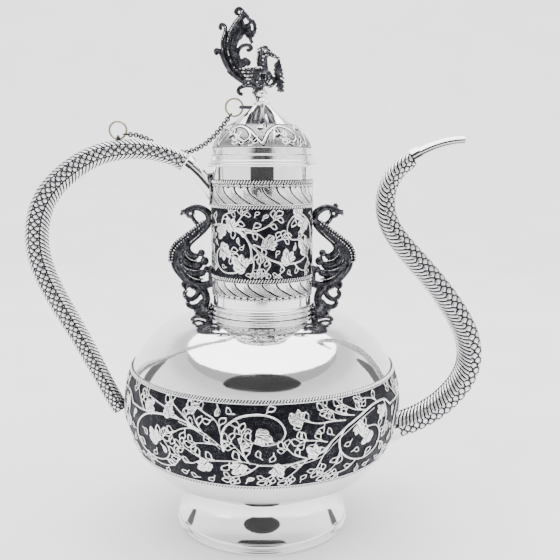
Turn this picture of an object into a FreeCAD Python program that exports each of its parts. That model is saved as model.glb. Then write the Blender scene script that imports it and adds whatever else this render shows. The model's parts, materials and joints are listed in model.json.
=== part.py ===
"""A silver dallah: a spouted coffee pot on a round foot, with a hollow loop handle, two cast side
brackets and a lift-off lid that hangs on a chain from the handle.

Millimetres. The pot stands on Z = 0 with its axis on Z, the spout towards +X and the handle towards -X.
"""
import FreeCAD, Part
import math
import os
import Sketcher
from FreeCAD import Placement, Rotation, Vector

doc = FreeCAD.newDocument("dallah")
sheet = doc.addObject("Spreadsheet::Sheet", "Size")

DIMENSIONS = {
    # sheet metal
    "wall": 1.2, "band_wall": 0.8, "sleeve_wall": 0.6, "rope_wall": 1.2,
    # foot
    "foot_radius": 69.5, "foot_inner_radius": 63.0, "foot_bead": 3.2, "foot_groove": 0.8,
    "groove_depth": 2.0, "foot_upper_bead": 4.2, "foot_neck_radius": 57.3,
    "flare_centre": 96.5, "flare_height": 34.0,
    # body: two arcs that meet at the equator
    "body_radius": 108.0, "equator": 102.7, "shoulder_arc": 67.3, "belly_arc": 75.85,
    "band_bottom": 66.8, "band_top": 131.1, "band_rope": 2.5, "mount_rise": 2.8,
    # neck
    "neck_radius": 38.6, "neck_bottom": 165.0, "neck_top": 283.0,
    "collar_radius": 39.2, "collar_middle": 173.9, "collar_top": 177.8,
    "leaf_low": 184.6, "rope_low": 198.1, "scroll_low": 201.8, "rope_mid": 252.2,
    "leaf_high": 255.1, "rope_high": 270.1, "rope_end": 273.7, "mouth_radius": 41.6, "mouth_height": 2.6,
    "rope_rise": 0.3,
    # lid
    "lid_play": 0.4, "lid_rim_radius": 40.9, "lid_rim_height": 2.2, "lid_step_radius": 39.4,
    "lid_step_top": 291.4, "lid_band_radius": 38.3, "lid_band_top": 297.0, "bezel_depth": 12.0,
    "dome_centre": 283.0, "dome_top_radius": 26.5, "cone_centre": 70.2, "cone_centre_height": 392.7,
    "cone_top_radius": 6.2, "cone_top": 329.4,
    # finial
    "stud_radius": 2.0, "stud_bottom": 321.0, "stud_top": 334.0, "nut_height": 3.0, "nut_radius": 4.4,
    "perch_height": 12.4, "tail_thickness": 3.0, "finial_waist": 2.9,
    # wire rings and the staples that hold them
    "ring_radius": 6.5, "ring_wire": 0.65, "staple_radius": 2.2, "staple_wire": 0.8, "shank_length": 7.0,
    # chain
    "link_radius": 1.5, "link_wire": 0.325, "link_play": 0.22, "end_link_radius": 2.3, "end_link_wire": 0.45,
    # hollow handle
    "handle_radius": 6.3, "handle_swell": 2.7, "handle_wall": 1.2,
    # spout
    "spout_root_radius": 10.1, "spout_radius": 6.4, "spout_wall": 1.0, "tip_radius": 5.2,
    # cast brackets
    "bracket_thickness": 7.0,
}
for row, (alias, number) in enumerate(DIMENSIONS.items(), start=1):
    sheet.set(f"A{row}", alias)
    sheet.set(f"B{row}", str(number))
    sheet.setAlias(f"B{row}", alias)
doc.recompute()

pieces = []


def size(alias):
    """A driving dimension, read from the sheet."""
    return float(getattr(sheet, alias))


def value(expression):
    """The number that an expression on the sheet comes to."""
    number = sheet.evalExpression(str(expression))
    return float(getattr(number, "Value", number))


def keep(piece, label):
    """Name a finished piece and put it on the list of pieces to write."""
    piece.Label = label
    pieces.append(piece)
    return piece


def shaped(label, shape, origin=Vector(0, 0, 0)):
    """A piece whose shape is computed from the sheet's sizes."""
    piece = doc.addObject("Part::Feature", label)
    piece.Shape = shape
    piece.Placement = Placement(origin, Rotation())
    return keep(piece, label)


def arc_between(start, end, centre):
    """The shorter arc from start to end, and whether it runs counter-clockwise, as sketch arcs do."""
    start_angle = math.atan2(start.y - centre.y, start.x - centre.x)
    end_angle = math.atan2(end.y - centre.y, end.x - centre.x)
    sweep = (end_angle - start_angle) % (2 * math.pi)
    circle = Part.Circle(centre, Vector(0, 0, 1), (end - centre).Length)
    if sweep <= math.pi + 1e-6:
        return Part.ArcOfCircle(circle, start_angle, start_angle + sweep), True
    return Part.ArcOfCircle(circle, end_angle, end_angle + 2 * math.pi - sweep), False


def drive(sketch, name, kind, vertex, expression):
    """Tie one coordinate of a sketch vertex to an expression on the sheet."""
    index = sketch.addConstraint(Sketcher.Constraint(kind, -1, 1, *vertex, value(expression)))
    sketch.renameConstraint(index, name)
    sketch.setExpression(f".Constraints.{name}", str(expression))


def turned_body(name, outline):
    """A solid turned about Z. The outline lists its corners as (radius, height) expressions; a corner
    with two more expressions is reached by an arc about that (radius, height) centre."""
    body = doc.addObject("PartDesign::Body", name + "_body")
    plane = next(item for item in body.Origin.OriginFeatures if item.Role == "XZ_Plane")
    sketch = body.newObject("Sketcher::SketchObject", name + "_outline")
    sketch.AttachmentSupport = [(plane, "")]
    sketch.MapMode = "FlatFace"
    corners = [Vector(value(corner[0]), value(corner[1]), 0) for corner in outline]
    finish_vertices, start_vertices = [], []
    for index, corner in enumerate(outline):
        forward = True
        if len(corner) == 4:
            centre = Vector(value(corner[2]), value(corner[3]), 0)
            edge, forward = arc_between(corners[index - 1], corners[index], centre)
        else:
            edge = Part.LineSegment(corners[index - 1], corners[index])
        sketch.addGeometry(edge, False)
        start_vertices.append((index, 1 if forward else 2))
        finish_vertices.append((index, 2 if forward else 1))
    for index, corner in enumerate(outline):
        next_start = start_vertices[(index + 1) % len(outline)]
        sketch.addConstraint(Sketcher.Constraint("Coincident", *finish_vertices[index], *next_start))
        drive(sketch, f"corner_radius_{index}", "DistanceX", finish_vertices[index], corner[0])
        drive(sketch, f"corner_height_{index}", "DistanceY", finish_vertices[index], corner[1])
        if len(corner) == 4:
            chord = corners[index] - corners[index - 1]
            if abs(chord.y) > abs(chord.x):
                drive(sketch, f"arc_centre_{index}", "DistanceX", (index, 3), corner[2])
            else:
                drive(sketch, f"arc_centre_{index}", "DistanceY", (index, 3), corner[3])
    revolution = body.newObject("PartDesign::Revolution", name + "_turned")
    revolution.Profile = sketch
    revolution.ReferenceAxis = (sketch, ["V_Axis"])
    revolution.Angle = 360.0
    body.Tip = revolution
    doc.recompute()
    return body


def turned(label, outline):
    """A finished piece turned about Z."""
    return keep(turned_body(label, outline), label)


def sleeve(label, inner, outer, bottom, top):
    """A plain ring about Z between two radii and two heights."""
    return turned(label, [(inner, bottom), (outer, bottom), (outer, top), (inner, top)])


def cut_away(label, base, *tools):
    """A piece that is the base less the tools, each cut a Part::Cut of its own."""
    result = base
    for number, tool in enumerate(tools, start=1):
        cut = doc.addObject("Part::Cut", f"{label}_cut_{number}")
        cut.Base = result
        cut.Tool = tool
        result = cut
    doc.recompute()
    return keep(result, label)


def smooth_line(points):
    """A smooth curve through (x, y, z) points."""
    curve = Part.BSplineCurve()
    curve.interpolate([Vector(*point) for point in points])
    return curve


def round_tube(points, radius_at, stations, start=0.0, finish=1.0):
    """A round bar along a smooth line. Its radius at a fraction of the length is radius_at(fraction)."""
    line = smooth_line(points)
    length = line.length()
    sections = []
    for number in range(stations + 1):
        fraction = start + (finish - start) * number / stations
        at = line.parameterAtDistance(fraction * length, line.FirstParameter)
        circle = Part.Circle(line.value(at), Vector(*line.tangent(at)[0]), radius_at(fraction))
        sections.append(Part.Wire(circle.toShape()))
    return Part.makeLoft(sections, True, False)


def hollow_tube(points, radius_at, wall, stations, start=0.0, finish=1.0):
    """A round tube along a smooth line, open at both ends."""
    outside = round_tube(points, radius_at, stations, start, finish)
    bore_over = 0.004
    inside = round_tube(points, lambda fraction: radius_at(fraction) - wall, stations,
                        max(start - bore_over, 0.0), min(finish + bore_over, 1.0))
    return outside.cut(inside)


def plate(outline, thickness, holes=()):
    """A flat plate in the XZ plane, centred on y = 0, with a smooth outline through (x, z) points."""
    def face_of(points):
        curve = Part.BSplineCurve()
        curve.interpolate([Vector(x, -thickness / 2, z) for x, z in points], PeriodicFlag=True)
        return Part.Face(Part.Wire(curve.toShape()))
    face = face_of(outline)
    for hole in holes:
        face = face.cut(face_of(hole))
    return face.extrude(Vector(0, thickness, 0))


def belly_skin(height, offset="0"):
    """The belly's outer radius at a height, moved outwards by an offset."""
    return f"{BELLY_CENTRE} + sqrt((Size.belly_arc + {offset})^2 - (Size.equator - ({height}))^2)"


def shoulder_skin(height, offset="0"):
    """The shoulder's outer radius at a height, moved outwards by an offset."""
    return f"{SHOULDER_CENTRE} + sqrt((Size.shoulder_arc + {offset})^2 - (({height}) - Size.equator)^2)"


def belly_height(radius, offset="0"):
    """The height of the belly's underside at a radius."""
    return f"Size.equator - sqrt((Size.belly_arc + {offset})^2 - ({radius} - {BELLY_CENTRE})^2)"


def shoulder_height(radius, offset="0"):
    """The height of the shoulder at a radius."""
    return f"Size.equator + sqrt((Size.shoulder_arc + {offset})^2 - ({radius} - {SHOULDER_CENTRE})^2)"


BELLY_CENTRE = "(Size.body_radius - Size.belly_arc)"
SHOULDER_CENTRE = "(Size.body_radius - Size.shoulder_arc)"
ABOUT_BELLY = (BELLY_CENTRE, "Size.equator")
ABOUT_SHOULDER = (SHOULDER_CENTRE, "Size.equator")

# ---------------------------------------------------------------- foot
GROOVE = "Size.foot_radius - Size.groove_depth"
GROOVE_TOP = "Size.foot_bead + Size.foot_groove"
RIM_TOP = "Size.foot_bead + Size.foot_groove + Size.foot_upper_bead"
BEAD_CENTRE = "Size.foot_radius - Size.foot_bead / 2"
turned("foot_rim", [
    ("Size.foot_inner_radius", "0"),
    (BEAD_CENTRE, "0"),
    (BEAD_CENTRE, "Size.foot_bead", BEAD_CENTRE, "Size.foot_bead / 2"),
    (GROOVE, "Size.foot_bead"),
    (GROOVE, GROOVE_TOP),
    (GROOVE, RIM_TOP, "Size.foot_radius - 2 * Size.groove_depth", f"{GROOVE_TOP} + Size.foot_upper_bead / 2"),
    ("Size.foot_inner_radius", RIM_TOP),
])


def flare(height, offset="0"):
    """The foot's hollow flare: its outer radius at a height, moved inwards by an offset."""
    arc = "(Size.flare_centre - Size.foot_neck_radius + " + offset + ")"
    return f"Size.flare_centre - sqrt({arc}^2 - (Size.flare_height - ({height}))^2)"


FOOT_INSIDE = "(Size.foot_neck_radius - Size.wall)"
ABOUT_FLARE = ("Size.flare_centre", "Size.flare_height")
turned("foot_pedestal", [
    (flare(RIM_TOP), RIM_TOP),
    ("Size.foot_neck_radius", belly_height("Size.foot_neck_radius"), *ABOUT_FLARE),
    (FOOT_INSIDE, belly_height(FOOT_INSIDE), *ABOUT_BELLY),
    (flare(RIM_TOP, "Size.wall"), RIM_TOP, *ABOUT_FLARE),
])

# ---------------------------------------------------------------- body
BOTTOM = "Size.equator - Size.belly_arc"
INSIDE = "Size.body_radius - Size.wall"
belly = turned_body("belly", [
    ("0", BOTTOM),
    (BELLY_CENTRE, BOTTOM),
    ("Size.body_radius", "Size.equator", *ABOUT_BELLY),
    (INSIDE, "Size.equator"),
    (BELLY_CENTRE, f"{BOTTOM} + Size.wall", *ABOUT_BELLY),
    ("0", f"{BOTTOM} + Size.wall"),
])
turned("body_upper", [
    (INSIDE, "Size.equator", *ABOUT_SHOULDER),
    ("Size.body_radius", "Size.equator"),
    ("Size.neck_radius", shoulder_height("Size.neck_radius"), *ABOUT_SHOULDER),
    ("Size.neck_radius", shoulder_height("Size.neck_radius", "(-Size.wall)")),
])
BAND_LOW = "Size.band_bottom + Size.band_rope"
BAND_HIGH = "Size.band_top - Size.band_rope"
band = turned_body("band", [
    (belly_skin(BAND_LOW), BAND_LOW, *ABOUT_BELLY),
    (belly_skin(BAND_LOW, "Size.band_wall"), BAND_LOW),
    ("Size.body_radius + Size.band_wall", "Size.equator", *ABOUT_BELLY),
    (shoulder_skin(BAND_HIGH, "Size.band_wall"), BAND_HIGH, *ABOUT_SHOULDER),
    (shoulder_skin(BAND_HIGH), BAND_HIGH),
    ("Size.body_radius", "Size.equator", *ABOUT_SHOULDER),
])
low_rope = turned_body("low_rope", [
    (belly_skin("Size.band_bottom"), "Size.band_bottom", *ABOUT_BELLY),
    (belly_skin("Size.band_bottom", "Size.rope_wall"), "Size.band_bottom"),
    (belly_skin(BAND_LOW, "Size.rope_wall"), BAND_LOW, *ABOUT_BELLY),
    (belly_skin(BAND_LOW), BAND_LOW),
])
turned("band_rope_upper", [
    (shoulder_skin(BAND_HIGH), BAND_HIGH, *ABOUT_SHOULDER),
    (shoulder_skin(BAND_HIGH, "Size.rope_wall"), BAND_HIGH),
    (shoulder_skin("Size.band_top", "Size.rope_wall"), "Size.band_top", *ABOUT_SHOULDER),
    (shoulder_skin("Size.band_top"), "Size.band_top"),
])

# ---------------------------------------------------------------- neck
INNER_NECK = "Size.neck_radius - Size.wall"
sleeve("neck_tube", INNER_NECK, "Size.neck_radius", "Size.neck_bottom", "Size.neck_top")
COLLAR_ROOT = shoulder_height("Size.collar_radius")
turned("neck_collar", [
    ("Size.neck_radius", shoulder_height("Size.neck_radius")),
    ("Size.collar_radius", COLLAR_ROOT, *ABOUT_SHOULDER),
    ("Size.collar_radius", "Size.collar_middle",
     "Size.collar_radius", f"(Size.collar_middle + {COLLAR_ROOT}) / 2"),
    ("Size.collar_radius", "Size.collar_top",
     "Size.collar_radius", "(Size.collar_top + Size.collar_middle) / 2"),
    ("Size.neck_radius", "Size.collar_top"),
])
ON_NECK = "Size.neck_radius + Size.sleeve_wall"
ROPE_ON_NECK = "Size.neck_radius + Size.sleeve_wall + Size.rope_rise"
neck_bands = [
    sleeve("neck_leaf_band_lower", "Size.neck_radius", ON_NECK, "Size.leaf_low", "Size.rope_low"),
    sleeve("neck_rope_lower", "Size.neck_radius", ROPE_ON_NECK, "Size.rope_low", "Size.scroll_low"),
    sleeve("neck_scroll_band", "Size.neck_radius", ON_NECK, "Size.scroll_low", "Size.rope_mid"),
    sleeve("neck_rope_middle", "Size.neck_radius", ROPE_ON_NECK, "Size.rope_mid", "Size.leaf_high"),
    sleeve("neck_leaf_band_upper", "Size.neck_radius", ON_NECK, "Size.leaf_high", "Size.rope_high"),
    sleeve("neck_rope_upper", "Size.neck_radius", ROPE_ON_NECK, "Size.rope_high", "Size.rope_end"),
]
MOUTH_TOP = "Size.neck_top + Size.mouth_height"
turned("neck_mouth_ring", [
    (INNER_NECK, "Size.neck_top"),
    ("Size.mouth_radius", "Size.neck_top"),
    ("Size.mouth_radius", MOUTH_TOP, "Size.mouth_radius", "Size.neck_top + Size.mouth_height / 2"),
    (INNER_NECK, MOUTH_TOP),
])

# ---------------------------------------------------------------- lid
BEZEL = "Size.neck_radius - Size.wall - Size.lid_play"
LID_RIM_TOP = f"{MOUTH_TOP} + Size.lid_rim_height"
sleeve("lid_bezel", f"{BEZEL} - Size.wall", BEZEL, f"{MOUTH_TOP} - Size.bezel_depth", LID_RIM_TOP)
turned("lid_rim", [
    (BEZEL, MOUTH_TOP),
    ("Size.lid_rim_radius", MOUTH_TOP),
    ("Size.lid_rim_radius", LID_RIM_TOP,
     "Size.lid_rim_radius", f"{MOUTH_TOP} + Size.lid_rim_height / 2"),
    (BEZEL, LID_RIM_TOP),
])
DOME_ARC = "sqrt(Size.lid_band_radius^2 + (Size.lid_band_top - Size.dome_centre)^2)"
DOME_INSIDE = "(Size.lid_band_radius - Size.wall)"
ABOUT_DOME = ("0", "Size.dome_centre")


def dome_height(radius, offset="0"):
    """The lid dome's height at a radius, moved inwards by an offset."""
    return f"Size.dome_centre + sqrt(({DOME_ARC} - {offset})^2 - {radius}^2)"


turned("lid_dome", [
    (DOME_INSIDE, LID_RIM_TOP),
    ("Size.lid_step_radius", LID_RIM_TOP),
    ("Size.lid_step_radius", "Size.lid_step_top"),
    ("Size.lid_band_radius", "Size.lid_step_top"),
    ("Size.lid_band_radius", "Size.lid_band_top"),
    ("Size.dome_top_radius", dome_height("Size.dome_top_radius"), *ABOUT_DOME),
    ("Size.dome_top_radius", dome_height("Size.dome_top_radius", "Size.wall")),
    (DOME_INSIDE, dome_height(DOME_INSIDE, "Size.wall"), *ABOUT_DOME),
])
ABOUT_CONE = ("Size.cone_centre", "Size.cone_centre_height")
turned("lid_cone", [
    ("Size.dome_top_radius", dome_height("Size.dome_top_radius", "Size.wall"), *ABOUT_CONE),
    ("Size.dome_top_radius", dome_height("Size.dome_top_radius")),
    ("Size.cone_top_radius", "Size.cone_top", *ABOUT_CONE),
    ("Size.stud_radius", "Size.cone_top"),
    ("Size.stud_radius", "Size.cone_top - Size.wall"),
    ("Size.cone_top_radius - Size.wall", "Size.cone_top - Size.wall"),
])
lid_cone_core = turned_body("lid_cone_core", [
    ("0", dome_height("Size.dome_top_radius")),
    ("Size.dome_top_radius", dome_height("Size.dome_top_radius")),
    ("Size.cone_top_radius", "Size.cone_top", *ABOUT_CONE),
    ("0", "Size.cone_top"),
]).Shape

# ---------------------------------------------------------------- finial
finial_stud = doc.addObject("Part::Cylinder", "finial_stud")
finial_stud.setExpression("Radius", "Size.stud_radius")
finial_stud.setExpression("Height", "Size.stud_top - Size.stud_bottom")
finial_stud.setExpression("Placement.Base.z", "Size.stud_bottom")
keep(finial_stud, "finial_stud")

nut_blank = doc.addObject("Part::Prism", "nut_blank")
nut_blank.Polygon = 6
nut_blank.setExpression("Circumradius", "Size.nut_radius")
nut_blank.setExpression("Height", "Size.nut_height")
nut_blank.setExpression("Placement.Base.z", "Size.cone_top - Size.wall - Size.nut_height")
cut_away("finial_nut", nut_blank, finial_stud)

finial_base = turned("finial_base", [
    ("Size.stud_radius", "Size.cone_top"),
    ("Size.cone_top_radius", "Size.cone_top"),
    ("Size.cone_top_radius", "Size.cone_top + 1.8",
     "Size.cone_top_radius - 0.6", "Size.cone_top + 0.9"),
    ("4.2", "Size.cone_top + 3.4"),
    ("Size.finial_waist", "Size.cone_top + 5.4"),
    ("Size.finial_waist", "Size.cone_top + 10.6", "2.2", "Size.cone_top + 8"),
    ("2.4", "Size.cone_top + Size.perch_height"),
    ("0", "Size.cone_top + Size.perch_height"),
    ("0", "Size.stud_top"),
    ("Size.stud_radius", "Size.stud_top"),
])


def oval(centre, half_lengths, tilt=0.0):
    """An egg shape: a ball stretched to half lengths along X, Y and Z, then tilted about Y."""
    stretch = FreeCAD.Matrix()
    stretch.scale(Vector(*half_lengths))
    ball = Part.makeSphere(1.0).transformGeometry(stretch)
    ball.Placement = Placement(Vector(*centre), Rotation(Vector(0, 1, 0), tilt))
    return ball


PERCH = size("cone_top") + size("perch_height")
breast = oval((-1, 0, PERCH + 7.5), (9.5, 6, 7.2), 25)
throat = round_tube([(3, 0, PERCH + 8), (3.4, 0, PERCH + 16), (0.8, 0, PERCH + 22), (2.5, 0, PERCH + 27)],
                    lambda fraction: 4.6 - 2.0 * fraction, 5)
skull = oval((3.4, 0, PERCH + 25.2), (4.4, 3.2, 3.4))
beak = round_tube([(5, 0, PERCH + 25), (9, 0, PERCH + 24.4), (12.6, 0, PERCH + 22)],
                  lambda fraction: 2.0 - 1.5 * fraction, 3)
spray = round_tube([(12, 0, PERCH + 22.2), (14.2, 0, PERCH + 14), (12.6, 0, PERCH + 4), (9, 0, PERCH - 2)],
                   lambda fraction: 0.9 + 1.9 * math.sin(math.pi * fraction), 8)
bird = breast.multiFuse([throat, skull, beak, spray])
finial_bird = shaped("finial_bird", bird.cut(finial_base.Shape))

tail_outline = [(-6, 351), (-11, 346), (-18, 346), (-25, 353), (-30, 364), (-31, 377), (-28, 390),
                (-18, 399.6), (-8, 393), (-4.5, 381), (-10, 372), (-14, 365), (-11, 357)]
tail = plate(tail_outline, size("tail_thickness"))
shaped("finial_tail", tail.cut([finial_bird.Shape, finial_base.Shape]))

# ---------------------------------------------------------------- what the handle and spout meet
def belly_core(name, low, high, offset):
    """A filled slice of the belly between two heights, its skin moved outwards by an offset."""
    return turned_body(name, [
        ("0", low),
        (belly_skin(low, offset), low),
        (belly_skin(high, offset), high, *ABOUT_BELLY),
        ("0", high),
    ]).Shape


core = belly_core("core", "40", "Size.equator", "0")
mount_blank = belly_core("mount_blank", "55", "Size.equator", "Size.mount_rise")
neck_core = Part.makeCylinder(size("neck_radius"), size("neck_top"))
neck_skins = [piece.Shape for piece in neck_bands]
band_skins = [band.Shape, low_rope.Shape]
SECTIONS = 32


# ---------------------------------------------------------------- hollow handle
HANDLE_LINE = [(-34, 0, 259), (-48, 0, 276), (-60, 0, 286.3), (-78, 0, 293.7), (-101, 0, 296.2),
               (-127, 0, 291.5), (-150, 0, 278), (-166.8, 0, 260), (-175.2, 0, 236), (-174.5, 0, 213),
               (-166, 0, 188.5), (-147.6, 0, 153.7), (-129, 0, 116.6), (-118, 0, 95), (-104, 0, 74)]
HANDLE_COLLAR = (0.085, 0.098)


def handle_radius(fraction):
    """The handle's radius along its line: widest half way down the loop."""
    return size("handle_radius") + size("handle_swell") * math.sin(math.pi * fraction) ** 2


def handle_end_radius(fraction):
    """The plain end's radius: it spreads a little towards the neck."""
    return size("handle_radius") + 0.7 * (1 - fraction / HANDLE_COLLAR[1])


handle_solid = round_tube(HANDLE_LINE, handle_radius, SECTIONS)
handle_end_solid = round_tube(HANDLE_LINE, handle_end_radius, 6, 0.0, HANDLE_COLLAR[1])
handle_pipe = hollow_tube(HANDLE_LINE, handle_radius, size("handle_wall"), SECTIONS, HANDLE_COLLAR[1], 1.0)
shaped("handle_tube", handle_pipe.cut(mount_blank))
plain_end = hollow_tube(HANDLE_LINE, handle_end_radius, size("handle_wall"), 6, 0.0, HANDLE_COLLAR[1])
shaped("handle_end", plain_end.cut([neck_core] + neck_skins))
handle_ferrule = round_tube(HANDLE_LINE, lambda fraction: size("handle_radius") + 1.5, 3, *HANDLE_COLLAR)
shaped("handle_collar", handle_ferrule.cut(handle_end_solid))

rose = Part.makeCylinder(12.5, 12, Vector(-30, 0, 266), Vector(-1, 0, 0))
rose_skin = Part.makeCylinder(size("neck_radius") + 2.2, size("neck_top"))
shaped("handle_neck_mount", rose.common(rose_skin).cut([neck_core, handle_end_solid] + neck_skins))

leaf_half = [(0, 61), (7, 70), (11.5, 80), (11, 90), (6, 97), (0, 100)]
leaf_points = leaf_half + [(-y, z) for y, z in reversed(leaf_half[1:-1])]
leaf_curve = Part.BSplineCurve()
leaf_curve.interpolate([Vector(-125, y, z) for y, z in leaf_points], PeriodicFlag=True)
leaf = Part.Face(Part.Wire(leaf_curve.toShape())).extrude(Vector(45, 0, 0))
shaped("handle_leaf_mount", leaf.common(mount_blank).cut([core] + band_skins))

# ---------------------------------------------------------------- spout
SPOUT_LINE = [(92, 0, 71.5), (110, 0, 75.6), (134.5, 0, 86.5), (154, 0, 103.5), (165, 0, 124),
              (164.5, 0, 146), (151, 0, 173), (131, 0, 199), (111, 0, 221.5), (97.5, 0, 243),
              (96.2, 0, 263), (104.3, 0, 280.2), (117.4, 0, 290.1), (136.3, 0, 298.6), (154.2, 0, 301.4)]
SPOUT_COLLAR = (0.875, 0.895)


def spout_radius(fraction):
    """The spout's radius along its line: it thins slowly at first, then faster."""
    thinning = (fraction / SPOUT_COLLAR[0]) ** 2.2
    return size("spout_root_radius") + (size("spout_radius") - size("spout_root_radius")) * thinning


def tip_radius(fraction):
    """The plain tip's radius: it narrows towards the mouth."""
    return size("tip_radius") + 0.4 * (1 - fraction) / (1 - SPOUT_COLLAR[0])


spout_pipe = hollow_tube(SPOUT_LINE, spout_radius, size("spout_wall"), SECTIONS, 0.0, SPOUT_COLLAR[0])
shaped("spout_tube", spout_pipe.cut(core))
tip_solid = round_tube(SPOUT_LINE, tip_radius, 6, SPOUT_COLLAR[0], 1.0)
shaped("spout_tip", hollow_tube(SPOUT_LINE, tip_radius, size("spout_wall"), 6, SPOUT_COLLAR[0], 1.0))
spout_ferrule = round_tube(SPOUT_LINE, lambda fraction: size("spout_radius") + 0.9, 3, *SPOUT_COLLAR)
shaped("spout_collar", spout_ferrule.cut(tip_solid))

root_solid = round_tube(SPOUT_LINE, lambda fraction: size("spout_root_radius") + 1.6, 3, 0.0, 0.055)
spout_solid = round_tube(SPOUT_LINE, spout_radius, SECTIONS, 0.0, SPOUT_COLLAR[0])
spout_bore = round_tube(SPOUT_LINE, lambda fraction: spout_radius(fraction) - size("spout_wall"), 6, 0.0, 0.2)
shaped("spout_root_ring", root_solid.cut([core, spout_solid]))
root_tool = doc.addObject("Part::Feature", "root_tool")
root_tool.Shape = root_solid
bore_tool = doc.addObject("Part::Feature", "bore_tool")
bore_tool.Shape = spout_bore
cut_away("body_lower", belly, bore_tool)
cut_away("body_band", band, root_tool)
cut_away("band_rope_lower", low_rope, root_tool)

# ---------------------------------------------------------------- cast brackets
bracket_outline = [
    (-37, 252), (-47, 254), (-57, 252.5), (-64, 246), (-58, 242), (-62, 231), (-70.5, 222.5),
    (-74.5, 213), (-71, 205), (-64, 196), (-64, 187), (-62, 178), (-58, 166), (-50, 166), (-44, 172),
    (-46, 179), (-49, 186), (-44, 189), (-37, 190), (-37, 205), (-43, 212), (-46, 221), (-45, 230),
    (-41, 240), (-37, 246)]
eye = [(-55.5, 246), (-51, 248.5), (-47.5, 245), (-47, 240), (-51, 239.5)]
bend = [(-66, 212), (-62, 219), (-56, 222), (-53, 216), (-55, 207), (-60, 203)]
lower_eye = [(-56.5, 184), (-52, 180), (-52.5, 175), (-57, 174.5), (-59, 179)]
bracket = plate(bracket_outline, size("bracket_thickness"), [eye, bend, lower_eye])
dome_core = turned_body("dome_core", [
    ("0", "Size.equator"),
    ("Size.body_radius", "Size.equator"),
    ("Size.neck_radius", shoulder_height("Size.neck_radius"), *ABOUT_SHOULDER),
    ("0", shoulder_height("Size.neck_radius")),
]).Shape
left = bracket.cut([neck_core, dome_core] + neck_skins)
shaped("bracket_left", left)
shaped("bracket_right", left.mirror(Vector(0, 0, 0), Vector(1, 0, 0)))

# ---------------------------------------------------------------- wire rings and their staples
HANDLE_RING_CENTRE = Vector(-109.9, 0, 310.6)
LID_RING_CENTRE = Vector(-21.1, 0, 327.6)
handle_staple_centre = HANDLE_RING_CENTRE - Vector(0, 0, size("ring_radius") + 0.25)
lid_staple_centre = LID_RING_CENTRE + Vector(size("ring_radius") + 0.35, 0, 0)
ring = Part.makeTorus(size("ring_radius"), size("ring_wire"), Vector(), Vector(0, 1, 0))
shaped("handle_ring", ring, HANDLE_RING_CENTRE)
shaped("lid_ring", ring, LID_RING_CENTRE)


def staple(centre, axis, shank, host):
    """A wire loop round a ring's wire, with a shank that runs into its host."""
    eyelet = Part.makeTorus(size("staple_radius"), size("staple_wire"), centre, axis)
    start = centre + shank * size("staple_radius")
    stem = Part.makeCylinder(size("staple_wire") * 1.2, size("shank_length"), start, shank)
    return eyelet.fuse(stem).cut(host)


shaped("handle_staple", staple(handle_staple_centre, Vector(1, 0, 0), Vector(0, 0, -1), handle_solid))
shaped("lid_staple", staple(lid_staple_centre, Vector(0, 0, 1), Vector(1, 0, 0), lid_cone_core))

# ---------------------------------------------------------------- chain
# The chain hooks into both rings. It lies over the handle's crest, hangs behind it and rises to the
# lid. Links lie in turn across and along the chain; each segment starts with a link across, whose
# near end is the pin that the segment turns on.
CHAIN_LINE = [(-105.66, 0, 307.63), (-99.3, 1, 307.4), (-92, 4, 306), (-85.6, 7.8, 302.3),
              (-78, 10, 297.7), (-68, 10.5, 294.5), (-59, 9, 294.1), (-47.5, 6, 298.2),
              (-35.9, 2.5, 307.2), (-23, 0, 323.1)]
SEGMENTS = 11
small = (size("link_radius"), size("link_wire"))
large = (size("end_link_radius"), size("end_link_wire"))


def link_step(link, following):
    """The distance between two hooked links' centres."""
    return link[0] + following[0] - link[1] - following[1] - size("link_play")


def segment_links(number):
    """The links of one segment: the first and last segments have a large link at the ring."""
    if number == 0:
        return [large] + [small] * 3
    if number == SEGMENTS - 1:
        return [small] * 4 + [large]
    return [small] * 4


def point_at_distance(line, after, centre, distance):
    """The first place along a line, past a parameter, that lies a distance from a point."""
    low, high = after, line.LastParameter
    if (line.value(high) - centre).Length < distance:
        return high, centre + (line.value(high) - centre).normalize() * distance
    for _ in range(40):
        middle = (low + high) / 2
        if (line.value(middle) - centre).Length < distance:
            low = middle
        else:
            high = middle
    return high, line.value(high)


def chain_segment(pin, direction, links):
    """The links of one segment, hooked in a row from the pin."""
    across = Vector(0, 1, 0) - direction * direction.y
    across.normalize()
    solids = []
    centre = pin + direction * links[0][0]
    for number, (radius, wire) in enumerate(links):
        axis = direction.cross(across) if number % 2 == 0 else across
        solids.append(Part.makeTorus(radius, wire, centre, axis))
        if number + 1 < len(links):
            centre = centre + direction * link_step(links[number], links[number + 1])
    return Part.makeCompound(solids)


chain_line = smooth_line(CHAIN_LINE)
parameter, pin = chain_line.FirstParameter, Vector(*CHAIN_LINE[0])
for number in range(SEGMENTS):
    links = segment_links(number)
    steps = sum(link_step(first, second) for first, second in zip(links, links[1:]))
    if number == SEGMENTS - 1:
        reach = links[0][0] + steps + links[-1][0]
    else:
        reach = links[0][0] + steps + link_step(links[-1], small) - small[0]
    parameter, next_pin = point_at_distance(chain_line, parameter, pin, reach)
    direction = (next_pin - pin).normalize()
    shaped(f"chain_{number + 1:02d}", chain_segment(pin, direction, links))
    print(f"chain_{number + 1:02d} pin", [round(v, 2) for v in pin])
    pin = next_pin
print("chain ends at", [round(v, 2) for v in pin])

# ---------------------------------------------------------------- checks and files
doc.recompute()
for item in doc.Objects:
    if "Invalid" in item.State or "Error" in item.State:
        raise RuntimeError(f"{item.Label} did not recompute")
labels = [piece.Label for piece in pieces]
if len(set(labels)) != len(labels):
    raise RuntimeError("two pieces share a label")
os.makedirs("parts", exist_ok=True)
for piece in pieces:
    if piece.Shape.isNull() or not piece.Shape.isValid():
        raise RuntimeError(f"{piece.Label} has no valid shape")
    piece.Shape.exportStep(f"parts/{piece.Label}.step")
print(len(pieces), "pieces")
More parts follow.
